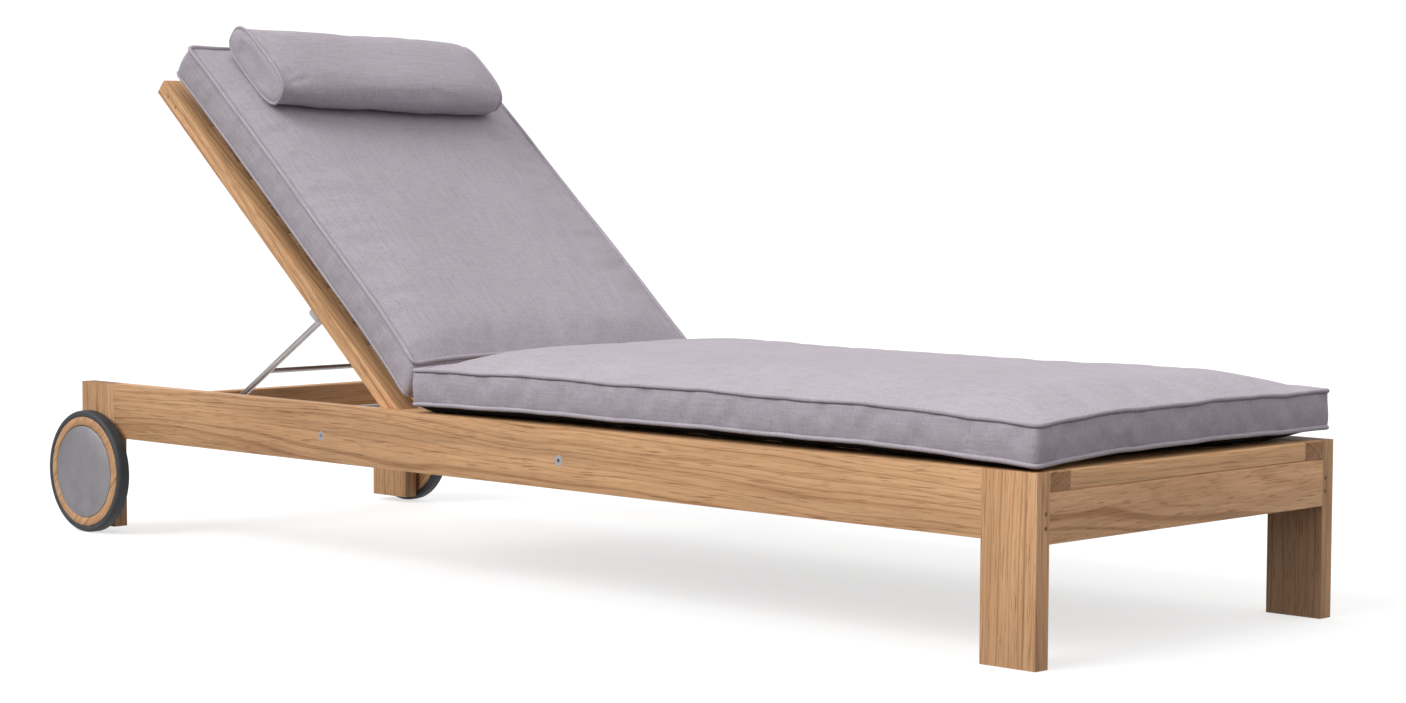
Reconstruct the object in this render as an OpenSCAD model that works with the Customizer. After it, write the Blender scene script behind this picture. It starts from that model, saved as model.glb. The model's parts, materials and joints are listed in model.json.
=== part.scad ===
// Reclining sun lounger on two wheels, with a propped backrest and loose cushions.
// Millimetres, +Z up, foot end towards +X, head end and wheels towards -X.
// The origin is on the ground, at the middle of the whole lounger's footprint.

/* [Frame] */
// Overall length of the wooden frame
frame_l = 2000; // [1960:10:2060]
// Overall width over the side rails
frame_w = 650; // [640:5:680]
// Height of the rails' top edge above the ground
frame_h = 245; // [240:1:260]
// Thickness of the boards
board_t = 25; // [24:0.5:27]
// Height of a side rail
rail_h = 88; // [84:1:92]
// Width of a leg, seen from the side
leg_w = 88; // [84:1:92]
// Clearance under the two head legs
head_leg_lift = 10; // [6:1:16]
// Height of the seat frame that lies on the crossrails
seat_frame_h = 26; // [25:0.5:27]
// Width of a seat stringer
stringer_w = 42; // [40:1:44]

/* [Slats] */
// Number of seat slats
seat_slats = 8; // [6:1:8]
// Number of backrest slats
back_slats = 5; // [4:1:5]
// Width of a slat
slat_w = 88; // [70:2:88]
// Thickness of a slat
slat_t = 14; // [12:1:16]

/* [Backrest] */
// Length of the backrest from its hinge to its top end
back_l = 764; // [756:1:768]
// Angle of the backrest above horizontal
back_angle = 40.6; // [38:0.2:43]
// Width of a backrest stile
stile_w = 40; // [38:1:41]
// Gap between a stile and the side rail
stile_gap = 3; // [2:0.5:4]

/* [Prop] */
// Distance of the prop's pivot from the backrest hinge
prop_pivot_s = 235; // [230:1:240]
// Depth of the prop's pivot below the middle of the stile
prop_pivot_drop = 21; // [20.5:0.5:23]
// Length of a prop arm from its pivot to the foot bar
prop_l = 312; // [306:1:318]
// Diameter of a prop arm and of the foot bar
prop_d = 10; // [9:0.5:11]
// Distance of the upper crossbar from the pivot
crossbar_s = 159; // [140:1:180]
// Angle that the prop turns for each degree of the backrest
prop_ratio = 1.754; // [1.74:0.002:1.76]

/* [Wheels] */
// Diameter over the tyre
wheel_d = 200; // [196:1:204]
// Width of a wheel
wheel_w = 22; // [20:1:24]
// Gap between a wheel and its leg
wheel_gap = 8; // [7:0.5:10]
// Distance of the wheel's centre from the frame's head end
wheel_inset = 44; // [42:1:46]

/* [Cushions] */
// Width of the seat cushion
seat_cushion_w = 642; // [620:2:650]
// Width of the back cushion
back_cushion_w = 586; // [570:2:590]
// Thickness of the seat cushion at its crown
seat_cushion_h = 94; // [80:1:100]
// Thickness of the back cushion at its crown
back_cushion_h = 100; // [80:1:104]
// Length of the head pillow
pillow_l = 490; // [440:5:520]

/* [Hidden] */
SIDES = ["left", "right"];
SEAT_SLATS = [for (i = [1:seat_slats]) str("seat_slat_", i)];
BACK_SLATS = [for (i = [1:back_slats]) str("back_slat_", i)];
// Every sub-part that has a left and a right copy
PAIRS = ["side_rail", "head_leg", "foot_leg", "seat_stringer", "ratchet_ledger",
         "stub_axle", "back_stile", "prop_bracket", "prop_arm",
         "tyre", "wheel_disc", "wheel_cap", "hub_bush"];
SINGLES = ["foot_crossrail", "head_crossrail", "middle_crossrail", "hinge_crossrail",
           "seat_end_slat", "rail_dowels", "tenon_pins", "rail_bolts", "barrel_nuts",
           "rail_screws", "hinge_pins", "seat_cushion", "back_top_rail", "stile_pins",
           "hinge_bushes", "prop_pins", "bracket_screws", "back_cushion",
           "prop_crossbar", "prop_foot_bar", "head_pillow"];

teak = "peru";
steel = "silver";
cloth = "thistle";
$fn = 64;
soft_gap = 0.3;        // clear space between a soft solid and its neighbour
run_gap = 0.05;        // radial clearance of a running fit
eps = 0.01;            // overlap that joins two pieces of one solid
cut = 1;               // length by which a cutter passes a face

// Lengthwise stations
wheel_r = wheel_d / 2;
foot_x = (frame_l + wheel_r - wheel_inset) / 2;
head_x = foot_x - frame_l;
wheel_x = head_x + wheel_inset;
hinge_x = head_x + back_l;
head_cross_x = head_x + 55.5;
hinge_cross_x = head_x + 623;
middle_cross_x = head_x + 1149;

// Heights and half-widths
half_w = frame_w / 2;
rail_in = half_w - board_t;
cross_top = frame_h - seat_frame_h;
cross_h = 64;
cross_z = cross_top - cross_h;
hinge_z = frame_h - board_t / 2;
fixing_drop = 48.5;    // depth of the side fixings below the rail's top edge
stile_out = rail_in - stile_gap;
stile_in = stile_out - stile_w;
stringer_in = rail_in - stringer_w;

// Joinery
tenon_l = 18;
tenon_t = 12;
tenon_margin = 5;
dowel_r = 5;
dowel_l = 50;
dowel_margin = 22;     // distance of a dowel from the rail's edge
pin_r = 3;
pin_l = 22;
pin_heights = [193, 175];
pin_from_joint = 7;    // distance of a tenon pin from the joint
housing = 10;          // depth of the slot that takes a slat's end
bolt_r = 4;
bolt_l = 62;
bolt_head_r = 8;
bolt_head_h = 5;
nut_r = 6;
nut_l = 18;
nut_from_face = 55;    // distance of a barrel nut from the rail's outer face
screw_r = 2.5;
screw_l = 70;
screw_head_r = 7;
screw_head_h = 4.5;
axle_shank_r = 5;      // shank of a stub axle, held in the leg
axle_shank_l = 20;

// Seat frame
stringer_x = hinge_x + board_t / 2 + 3.5;   // clear of the turning stile's round end
end_slat_x = foot_x - slat_w;
seat_pitch = (end_slat_x - stringer_x) / seat_slats;

// Backrest, drawn lying flat with its hinge at the local origin and its top towards -X
top_rail_w = 88;
top_tenon_l = 24;
top_tenon_t = 10;
top_tenon_margin = 8;
slat_gap_top = 24;     // gap between the top rail and the first slat
back_pitch = (back_l - top_rail_w - 40) / back_slats;
stile_pin_l = 28;
hinge_pin_r = 4;
hinge_pin_in = 18;     // length of a hinge pin in the side rail
bush_r = 6;

// Prop
prop_rest_angle = back_angle - 73.5;
prop_y = stile_in + 24;
eye_r = prop_d / 2 + 1;
crossbar_r = 4;
prop_pin_r = 2.5;
cheek_t = 2.5;
cheek_gap = prop_d / 2 + 0.4;
plate_t = 2;
plate_x = [-23, 21];   // ends of a bracket's plate, from the pin
bracket_screw_r = 1.75;
bracket_head_r = 3.5;
bracket_screw_l = 16;
bar_reach = 13;        // length of the foot bar beyond the middle of each arm
back_max = 60;         // steepest angle of the backrest
ledger_w = 23;
ledger_z = 160;
notch_r = prop_d / 2 + 0.4;
notches = 6;
notch_step = 38;
notch_rise = 1.4;      // rise of the path from one notch to the next

// Wheels
hub_bore_r = 8;
axle_r = 6;
rim_r = wheel_r - 10;
cap_r = 74;
cap_recess = 2.5;
cap_t = 1.4;
pocket_r = 16;
pocket_d = 7;
wheel_out = half_w + wheel_gap + wheel_w;

// Cushions
seat_cushion_x = hinge_x + 68;
seat_cushion_end = foot_x - 6;

// Angle of the prop above horizontal when the backrest is at angle b
function prop_angle(b) = prop_rest_angle + (b - back_angle) * (1 - prop_ratio);
// Middle of the foot bar, as [x, z], when the backrest is at angle b
function foot_bar_at(b) = [
    hinge_x - prop_pivot_s * cos(b) - prop_pivot_drop * sin(b) - prop_l * cos(prop_angle(b)),
    hinge_z + prop_pivot_s * sin(b) - prop_pivot_drop * cos(b) + prop_l * sin(prop_angle(b))];

function side_of(name) = name == "left" ? 1 : -1;

module at_side(side) { scale_y(side_of(side)) children(); }
module scale_y(sign) { mirror([0, sign < 0 ? 1 : 0, 0]) children(); }
module both_sides() { for (s = SIDES) at_side(s) children(); }

// Block from its lowest corner to its highest corner
module block(low, high) { translate(low) cube(high - low); }

// Round bar along Y between two places
module bar_y(r, y0, y1) { translate([0, y0, 0]) rotate([-90, 0, 0]) cylinder(r = r, h = y1 - y0); }
// Round bar along X between two places
module bar_x(r, x0, x1) { translate([x0, 0, 0]) rotate([0, 90, 0]) cylinder(r = r, h = x1 - x0); }
// Round bar along Z between two places
module bar_z(r, z0, z1) { translate([0, 0, z0]) cylinder(r = r, h = z1 - z0); }

// Outline drawn in X and Z, extruded in Y between two places
module extrude_y(y0, y1) { translate([0, y1, 0]) rotate([90, 0, 0]) linear_extrude(y1 - y0) children(); }

// Outline drawn in Y and Z, extruded in X between two places
module extrude_x(x0, x1) {
    translate([x0, 0, 0]) rotate([90, 0, 90]) linear_extrude(x1 - x0) children();
}

// Turns a piece drawn lying flat at the hinge up to the backrest's angle
module on_backrest() { translate([hinge_x, 0, hinge_z]) rotate([0, back_angle, 0]) children(); }

// Turns a piece drawn along -X from the prop's pivot to the prop's place at rest
module on_prop() {
    on_backrest() translate([-prop_pivot_s, 0, -prop_pivot_drop])
        rotate([0, prop_rest_angle - back_angle, 0]) children();
}

// ---------- frame ----------

// Middles of the two dowels of each joint between a rail and a leg
module at_rail_dowels() {
    for (x = [head_x + leg_w, foot_x - leg_w],
         z = [frame_h - dowel_margin, frame_h - rail_h + dowel_margin])
        translate([x, half_w - board_t / 2, z]) children();
}

// Countersunk hole or head: a cone that opens outwards, and a shank inwards along -Y
module countersunk_y(head_r, head_h, shank_r, length) {
    rotate([90, 0, 0]) union() {
        cylinder(r1 = head_r, r2 = shank_r, h = head_h);
        cylinder(r = shank_r, h = length);
    }
}

module at_rail_screw() { translate([hinge_cross_x, half_w, frame_h - fixing_drop]) children(); }
module at_rail_bolt() { translate([middle_cross_x, half_w, frame_h - fixing_drop + 1]) children(); }

module side_rail(side) {
    color(teak) at_side(side) difference() {
        block([head_x + leg_w, rail_in, frame_h - rail_h], [foot_x - leg_w, half_w, frame_h]);
        at_rail_dowels() bar_x(dowel_r, -dowel_l / 2, dowel_l / 2);
        at_rail_screw() countersunk_y(screw_head_r, screw_head_h, screw_r, board_t + cut);
        at_rail_bolt() countersunk_y(bolt_head_r, bolt_head_h, bolt_r, board_t + cut);
        translate([hinge_x, 0, hinge_z]) bar_y(hinge_pin_r, rail_in - cut, rail_in + hinge_pin_in);
    }
}

// Mortise in a leg for a crossrail whose middle is at x
module mortise(x) {
    block([x - tenon_t / 2, rail_in - cut, cross_z + tenon_margin],
          [x + tenon_t / 2, rail_in + tenon_l, cross_top - tenon_margin]);
}

module at_tenon_pins() {
    for (z = pin_heights) translate([0, rail_in + pin_from_joint, z]) children();
}

module foot_leg(side) {
    color(teak) at_side(side) difference() {
        block([foot_x - leg_w, rail_in, 0], [foot_x, half_w, frame_h]);
        at_rail_dowels() bar_x(dowel_r, -dowel_l / 2, dowel_l / 2);
        mortise(foot_x - board_t / 2);
        at_tenon_pins() bar_x(pin_r, foot_x - pin_l, foot_x + cut);
    }
}

module head_leg(side) {
    color(teak) at_side(side) difference() {
        block([head_x, rail_in, head_leg_lift], [head_x + leg_w, half_w, frame_h]);
        at_rail_dowels() bar_x(dowel_r, -dowel_l / 2, dowel_l / 2);
        mortise(head_cross_x);
        translate([wheel_x, 0, wheel_r])
            bar_y(axle_shank_r + run_gap, half_w - axle_shank_l, half_w + cut);
    }
}

module plain_crossrail(x) {
    block([x - board_t / 2, -rail_in, cross_z], [x + board_t / 2, rail_in, cross_top]);
}

// Crossrail with a tenon at each end
module crossrail(x, pinned = false) {
    color(teak) difference() {
        union() {
            plain_crossrail(x);
            block([x - tenon_t / 2, -rail_in - tenon_l, cross_z + tenon_margin],
                  [x + tenon_t / 2, rail_in + tenon_l, cross_top - tenon_margin]);
        }
        if (pinned) both_sides() at_tenon_pins() bar_x(pin_r, foot_x - pin_l, foot_x + cut);
    }
}

module foot_crossrail() { crossrail(foot_x - board_t / 2, true); }
module head_crossrail() { crossrail(head_cross_x); }

module hinge_crossrail() {
    color(teak) difference() {
        plain_crossrail(hinge_cross_x);
        both_sides() at_rail_screw() bar_y(screw_r, -screw_l, 0);
    }
}

module middle_crossrail() {
    color(teak) difference() {
        plain_crossrail(middle_cross_x);
        both_sides() at_rail_bolt() {
            bar_y(bolt_r + run_gap, -bolt_l - nut_r, 0);
            translate([0, -nut_from_face, 0]) bar_z(nut_r + run_gap, -cross_h, nut_l / 2);
        }
    }
}

module rail_dowels() {
    color(teak) both_sides() at_rail_dowels() bar_x(dowel_r, -dowel_l / 2, dowel_l / 2);
}

module tenon_pins() {
    color("saddlebrown") both_sides() at_tenon_pins() bar_x(pin_r, foot_x - pin_l, foot_x);
}

// Screws that hold the hinge crossrail, with a cross slot for the driver
module rail_screws() {
    color(steel) both_sides() at_rail_screw() difference() {
        countersunk_y(screw_head_r, screw_head_h, screw_r, screw_l);
        for (a = [0, 90]) rotate([0, a, 0]) block([-3.6, -2, -0.6], [3.6, 1, 0.6]);
    }
}

// Bolts that hold the middle crossrail, with a hexagon socket
module rail_bolts() {
    color(steel) both_sides() at_rail_bolt() difference() {
        countersunk_y(bolt_head_r, bolt_head_h, bolt_r, bolt_l);
        rotate([90, 0, 0]) translate([0, 0, -cut]) cylinder(r = 2.9, h = 4, $fn = 6);
    }
}

module barrel_nuts() {
    color("goldenrod") both_sides() at_rail_bolt() difference() {
        translate([0, -nut_from_face, 0]) bar_z(nut_r, -nut_l / 2, nut_l / 2);
        bar_y(bolt_r + run_gap, -nut_from_face - 2 * nut_r, 0);
    }
}

// ---------- seat ----------

function seat_slat_x(i) = stringer_x + (i - 1) * seat_pitch + (seat_pitch - slat_w) / 2;

module slat_block(x, reach) {
    block([x, -stringer_in - reach, frame_h - slat_t], [x + slat_w, stringer_in + reach, frame_h]);
}

module seat_slat(i) { color(teak) slat_block(seat_slat_x(i), housing); }

module seat_stringer(side) {
    color(teak) at_side(side) difference() {
        block([stringer_x, stringer_in, cross_top], [foot_x, rail_in, frame_h]);
        for (i = [1:seat_slats]) slat_block(seat_slat_x(i), housing);
    }
}

module seat_end_slat() {
    color(teak) block([end_slat_x, -stringer_in, cross_top], [foot_x, stringer_in, frame_h]);
}

// ---------- backrest ----------

function back_slat_x(i) = -back_l + top_rail_w + slat_gap_top + (i - 1) * back_pitch;

module back_slat_block(x, reach) {
    block([x, -stile_in - reach, board_t / 2 - slat_t], [x + slat_w, stile_in + reach, board_t / 2]);
}

module back_slat(i) { color(teak) on_backrest() back_slat_block(back_slat_x(i), housing); }

// Tenons of the top rail, as one bar from stile to stile
module top_tenon() {
    block([-back_l + top_tenon_margin, -stile_in - top_tenon_l, -top_tenon_t / 2],
          [-back_l + top_rail_w - top_tenon_margin, stile_in + top_tenon_l, top_tenon_t / 2]);
}

module at_stile_pins() { for (x = [-back_l + 26, -back_l + 52]) translate([x, 0, 0]) children(); }

module back_top_rail() {
    color(teak) on_backrest() difference() {
        union() {
            block([-back_l, -stile_in, -board_t / 2], [-back_l + top_rail_w, stile_in, board_t / 2]);
            top_tenon();
        }
        both_sides() at_stile_pins() bar_y(pin_r, stile_out - stile_pin_l, stile_out);
    }
}

module stile_pins() {
    color("saddlebrown") on_backrest() both_sides() at_stile_pins()
        bar_y(pin_r, stile_out - stile_pin_l, stile_out);
}

module at_prop_bracket() { translate([-prop_pivot_s, prop_y, -prop_pivot_drop]) children(); }

// Places of a bracket's two screws, on the back face of the stile
module at_bracket_screws() {
    for (x = [14, -17]) at_prop_bracket()
        translate([x, 0, prop_pivot_drop - board_t / 2 - plate_t]) children();
}

module bracket_screw() {
    cylinder(r1 = bracket_head_r, r2 = bracket_screw_r, h = bracket_head_r - bracket_screw_r);
    bar_z(bracket_screw_r, 0, bracket_screw_l);
}

module back_stile(side) {
    color(teak) at_side(side) on_backrest() difference() {
        union() {
            block([-back_l, stile_in, -board_t / 2], [0, stile_out, board_t / 2]);
            bar_y(board_t / 2, stile_in, stile_out);
        }
        bar_y(bush_r, stile_in - cut, stile_out + cut);
        for (i = [1:back_slats]) back_slat_block(back_slat_x(i), housing);
        top_tenon();
        at_stile_pins() bar_y(pin_r, stile_out - stile_pin_l, stile_out + cut);
        at_bracket_screws() bar_z(bracket_screw_r, 0, bracket_screw_l);
    }
}

module hinge_pins() {
    color(steel) translate([hinge_x, 0, hinge_z]) both_sides()
        bar_y(hinge_pin_r, stile_in + 4, rail_in + hinge_pin_in);
}

module hinge_bushes() {
    color("ivory") on_backrest() both_sides() difference() {
        bar_y(bush_r, stile_in, stile_out);
        bar_y(hinge_pin_r + run_gap, stile_in - cut, stile_out + cut);
    }
}

// ---------- prop ----------

// Side view of a bracket cheek: round the pin, with a lobe towards the backrest's top
module cheek_outline() {
    difference() {
        hull() {
            circle(r = 6.5);
            translate([-19, -3.5]) circle(r = 4.5);
            translate([plate_x[0], prop_pivot_drop - board_t / 2 - plate_t - 0.5]) square([30, 0.5]);
        }
        circle(r = prop_pin_r + run_gap);
    }
}

module prop_bracket(side) {
    reach = cheek_gap + cheek_t;
    top = prop_pivot_drop - board_t / 2;
    color(steel) at_side(side) on_backrest() difference() {
        at_prop_bracket() union() {
            for (y = [-reach, cheek_gap]) extrude_y(y, y + cheek_t) cheek_outline();
            block([plate_x[0], -reach, top - plate_t], [plate_x[1], reach, top]);
        }
        at_bracket_screws() bracket_screw();
    }
}

module bracket_screws() {
    color("gray") on_backrest() both_sides() at_bracket_screws() bracket_screw();
}

module prop_pins() {
    color("gray") on_backrest() both_sides() at_prop_bracket()
        bar_y(prop_pin_r, -cheek_gap - cheek_t - 0.5, cheek_gap + cheek_t + 0.5);
}

module prop_arm(side) {
    out = side_of(side);
    color(steel) on_prop() translate([0, out * prop_y, 0]) difference() {
        union() {
            bar_x(prop_d / 2, -prop_l, 0);
            bar_y(eye_r, -prop_d / 2, prop_d / 2);
        }
        bar_y(prop_pin_r + run_gap, -prop_d, prop_d);
        translate([-prop_l, 0, 0]) bar_y(prop_d / 2 + run_gap, -prop_d, prop_d);
        translate([-crossbar_s, -out * prop_d / 2, 0]) bar_y(crossbar_r, -prop_d / 2, prop_d / 2);
    }
}

module prop_crossbar() {
    color(steel) on_prop() translate([-crossbar_s, 0, 0]) bar_y(crossbar_r, -prop_y, prop_y);
}

module prop_foot_bar() {
    color(steel) on_prop() translate([-prop_l, 0, 0])
        bar_y(prop_d / 2, -prop_y - bar_reach, prop_y + bar_reach);
}

// Notched board inside a side rail. Its top edge follows the foot bar's path.
module ratchet_ledger(side) {
    path = [for (b = [0:6:back_max]) foot_bar_at(b)];
    first = foot_bar_at(back_max);
    last = foot_bar_at(0);
    under = prop_d / 2 + 0.8;
    outline = concat([[first[0] + 30, ledger_z], [last[0] - 24, ledger_z],
                      [last[0] - 24, last[1] - under]],
                     [for (p = path) [p[0], p[1] - under]],
                     [[first[0] + 30, first[1] - under]]);
    color(teak) at_side(side) extrude_y(rail_in - ledger_w, rail_in) difference() {
        polygon(outline);
        for (k = [0:notches - 1])
            translate([first[0] - k * notch_step, first[1] + k * notch_rise - under])
                circle(r = notch_r);
    }
}

// ---------- wheels ----------

module at_wheel(side) { at_side(side) translate([wheel_x, 0, wheel_r]) children(); }

// Ring about the wheel's axle: the outline's X is the radius and its Y is the place along Y
module ring_y() { rotate([-90, 0, 0]) rotate_extrude($fn = 96) children(); }

module tyre(side) {
    edge = 5;
    color("dimgray") at_wheel(side) ring_y() union() {
        translate([rim_r, wheel_out - wheel_w]) square([wheel_r - rim_r - edge, wheel_w]);
        for (y = [wheel_out - wheel_w + edge, wheel_out - edge])
            translate([wheel_r - edge, y]) circle(r = edge, $fn = 32);
        translate([rim_r, wheel_out - wheel_w + edge]) square([wheel_r - rim_r, wheel_w - 2 * edge]);
    }
}

module wheel_disc(side) {
    color(teak) at_wheel(side) difference() {
        bar_y(rim_r, wheel_out - wheel_w, wheel_out, $fn = 96);
        bar_y(cap_r + 0.5, wheel_out - cap_recess, wheel_out + cut, $fn = 96);
        bar_y(pocket_r, wheel_out - cap_recess - pocket_d, wheel_out);
        bar_y(hub_bore_r, wheel_out - wheel_w - cut, wheel_out);
    }
}

module wheel_cap(side) {
    color(steel) at_wheel(side)
        bar_y(cap_r, wheel_out - cap_recess, wheel_out - cap_recess + cap_t, $fn = 96);
}

module hub_bush(side) {
    color("ivory") at_wheel(side) difference() {
        bar_y(hub_bore_r, wheel_out - wheel_w, wheel_out - cap_recess - pocket_d);
        bar_y(axle_r + run_gap, wheel_out - wheel_w - cut, wheel_out);
    }
}

// Shoulder bolt: shank in the leg, flange beside it, journal in the bush, head in the pocket
module stub_axle(side) {
    head_y = wheel_out - cap_recess - pocket_d + 0.5;
    color(steel) at_wheel(side) union() {
        bar_y(axle_shank_r, half_w - axle_shank_l, half_w + eps);
        bar_y(14, half_w, wheel_out - wheel_w - 0.5);
        bar_y(axle_r, half_w, head_y + eps);
        bar_y(13, head_y, head_y + 5);
    }
}

// ---------- soft parts, as plain solids ----------

module seat_cushion() {
    w = seat_cushion_w / 2;
    z0 = frame_h + soft_gap;
    z1 = frame_h + seat_cushion_h;
    color(cloth) intersection() {
        extrude_x(seat_cushion_x, seat_cushion_end) polygon([
            [-w, z0 + 9], [-w * 0.8, z0], [w * 0.8, z0], [w, z0 + 9],
            [w, z1 - 31], [w * 0.7, z1 - 6], [0, z1], [-w * 0.7, z1 - 6], [-w, z1 - 31]]);
        extrude_y(-w, w) polygon([
            [seat_cushion_x, z0], [seat_cushion_end - 50, z0], [seat_cushion_end, z0 + 9],
            [seat_cushion_end, z1 - 35], [seat_cushion_end - 130, z1], [seat_cushion_x + 110, z1],
            [seat_cushion_x, z1 - 26]]);
    }
}

// The lower end is cut back so that it clears the seat as the backrest is raised
module back_cushion() {
    w = back_cushion_w / 2;
    z0 = board_t / 2 + soft_gap;
    z1 = board_t / 2 + back_cushion_h;
    top = -back_l + 16;
    color(cloth) on_backrest() intersection() {
        extrude_x(top, 0) polygon([
            [-w, z0 + 24], [-w * 0.8, z0], [w * 0.8, z0], [w, z0 + 24],
            [w, z1 - 24], [w * 0.75, z1], [-w * 0.75, z1], [-w, z1 - 24]]);
        extrude_y(-w, w) polygon([
            [-3, z0], [-3, z0 + 62], [-62, z1], [top + 90, z1], [top, z1 - 26],
            [top, z0 + 20], [top + 40, z0]]);
    }
}

pillow_x = -back_l + 123;
pillow_low = board_t / 2 + back_cushion_h + 1;

module head_pillow() {
    color(cloth) on_backrest() translate([pillow_x, 0, pillow_low])
        extrude_y(-pillow_l / 2, pillow_l / 2) polygon([
            [-72, 0], [72, 0], [84, 16], [84, 34], [68, 56], [24, 68], [-24, 68],
            [-68, 56], [-84, 34], [-84, 16]]);
}

foot_crossrail();
head_crossrail();
middle_crossrail();
hinge_crossrail();
seat_end_slat();
rail_dowels();
tenon_pins();
rail_bolts();
barrel_nuts();
rail_screws();
hinge_pins();
seat_cushion();
back_top_rail();
stile_pins();
hinge_bushes();
prop_pins();
bracket_screws();
back_cushion();
prop_crossbar();
prop_foot_bar();
head_pillow();
for (i = [1:seat_slats])
    seat_slat(i);
for (i = [1:back_slats])
    back_slat(i);
for (s = SIDES) {
    side_rail(s);
    head_leg(s);
    foot_leg(s);
    seat_stringer(s);
    ratchet_ledger(s);
    stub_axle(s);
    back_stile(s);
    prop_bracket(s);
    prop_arm(s);
    tyre(s);
    wheel_disc(s);
    wheel_cap(s);
    hub_bush(s);
}
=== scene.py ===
"""Looks of the reclining sun lounger: oiled teak, brushed steel, rubber and woven cushions."""
import json
import math
import random

import bmesh
import bpy
import numpy as np
from mathutils import Matrix, Vector

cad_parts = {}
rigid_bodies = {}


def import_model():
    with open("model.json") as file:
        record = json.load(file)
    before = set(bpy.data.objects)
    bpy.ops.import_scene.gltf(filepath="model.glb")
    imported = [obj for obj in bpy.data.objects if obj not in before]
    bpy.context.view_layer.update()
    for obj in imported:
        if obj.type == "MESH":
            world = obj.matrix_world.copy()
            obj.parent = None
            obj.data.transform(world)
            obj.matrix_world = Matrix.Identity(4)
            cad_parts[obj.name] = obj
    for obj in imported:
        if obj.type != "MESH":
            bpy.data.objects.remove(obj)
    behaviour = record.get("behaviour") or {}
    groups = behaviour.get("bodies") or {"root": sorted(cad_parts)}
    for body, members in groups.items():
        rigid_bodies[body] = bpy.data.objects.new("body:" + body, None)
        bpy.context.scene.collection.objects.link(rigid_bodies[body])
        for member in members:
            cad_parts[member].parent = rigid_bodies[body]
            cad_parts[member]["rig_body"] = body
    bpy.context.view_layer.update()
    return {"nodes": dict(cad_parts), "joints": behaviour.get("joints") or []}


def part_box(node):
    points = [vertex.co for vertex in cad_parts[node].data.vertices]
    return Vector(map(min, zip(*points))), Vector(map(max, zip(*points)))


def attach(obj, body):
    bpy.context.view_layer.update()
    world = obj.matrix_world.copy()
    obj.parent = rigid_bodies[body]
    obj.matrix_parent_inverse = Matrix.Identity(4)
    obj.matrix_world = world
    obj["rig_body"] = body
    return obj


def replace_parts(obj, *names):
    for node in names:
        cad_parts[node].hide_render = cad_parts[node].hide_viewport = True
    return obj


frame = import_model()
MM = 0.001


# ---------- camera, light and floor ----------

def aimed(azimuth, pitch, roll):
    """Rotation of a camera that looks along +Y at azimuth 0, tips down by pitch and rolls."""
    a, p, r = (math.radians(x) for x in (azimuth, pitch, roll))
    back = Vector((math.sin(a) * math.cos(p), -math.cos(a) * math.cos(p), math.sin(p)))
    right = Vector((math.cos(a), math.sin(a), 0))
    up = back.cross(right)
    right, up = right * math.cos(r) + up * math.sin(r), up * math.cos(r) - right * math.sin(r)
    return Matrix((right, up, back)).transposed()


def add_camera():
    data = bpy.data.cameras.new("camera")
    data.sensor_width = 36
    data.lens = 81.57
    data.clip_end = 200
    camera = bpy.data.objects.new("camera", data)
    place = Matrix.Translation((3.4257, -3.3820, 0.6495))
    camera.matrix_world = place @ aimed(44.14, 3.818, 0.276).to_4x4()
    bpy.context.scene.collection.objects.link(camera)
    bpy.context.scene.camera = camera


def light_the_studio():
    """A soft key from the left, a weak fill from the foot end, and a bright backdrop behind."""
    world = bpy.data.worlds.new("studio")
    bpy.context.scene.world = world
    world.use_nodes = True
    way = node(world, "TexCoord").outputs["Generated"]
    axes = node(world, "SeparateXYZ", {"Vector": way})
    height = math_node(world, "ADD", math_node(world, "MULTIPLY", axes.outputs["Z"], 0.5), 0.5)
    room = ramp(world, height, (0.0, 0.02), (0.50, 0.03), (0.58, 0.46), (0.68, 0.62), (1.0, 0.74))
    behind = math_node(world, "SUBTRACT", math_node(world, "MULTIPLY", axes.outputs["Y"], 0.71),
                       math_node(world, "MULTIPLY", axes.outputs["X"], 0.71))
    sheet = ramp(world, behind, (0.72, 0.0), (0.86, 1.0))
    colour = mixed(world, "MIX", sheet, room, (1, 1, 1, 1))
    background = world.node_tree.nodes["Background"]
    world.node_tree.links.new(colour, background.inputs["Color"])
    background.inputs["Strength"].default_value = 1.1
    add_sun("key", 2.09, 38, (-0.22, -0.74, 0.63))
    add_sun("fill", 0.4, 60, (0.92, -0.04, 0.38))
    bpy.context.scene.view_settings.view_transform = "Standard"


def add_sun(name, energy, angle, direction):
    """A distant light of the given angular size, shining from direction."""
    data = bpy.data.lights.new(name, "SUN")
    data.energy = energy
    data.angle = math.radians(angle)
    sun = bpy.data.objects.new(name, data)
    sun.rotation_euler = Vector(direction).to_track_quat("Z", "Y").to_euler()
    bpy.context.scene.collection.objects.link(sun)


def add_floor():
    """Plain pale floor. It takes shadows, glows faintly and sends no bounce light back up."""
    mesh = bpy.data.meshes.new("floor")
    half = 60
    corners = [(-half, -half, 0), (half, -half, 0), (half, half, 0), (-half, half, 0)]
    mesh.from_pydata(corners, [], [(0, 1, 2, 3)])
    floor = bpy.data.objects.new("floor", mesh)
    bpy.context.scene.collection.objects.link(floor)
    mat, shader = new_material("floor_paint")
    shader.inputs["Base Color"].default_value = (0.42, 0.42, 0.42, 1)
    shader.inputs["Roughness"].default_value = 1.0
    shader.inputs["Specular IOR Level"].default_value = 0.0
    shader.inputs["Emission Color"].default_value = (1, 1, 1, 1)
    shader.inputs["Emission Strength"].default_value = 0.66
    mesh.materials.append(mat)
    floor.visible_diffuse = False
    floor.visible_shadow = False


# ---------- node helpers ----------

def new_material(name):
    mat = bpy.data.materials.new(name)
    mat.use_nodes = True
    return mat, mat.node_tree.nodes["Principled BSDF"]


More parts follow.
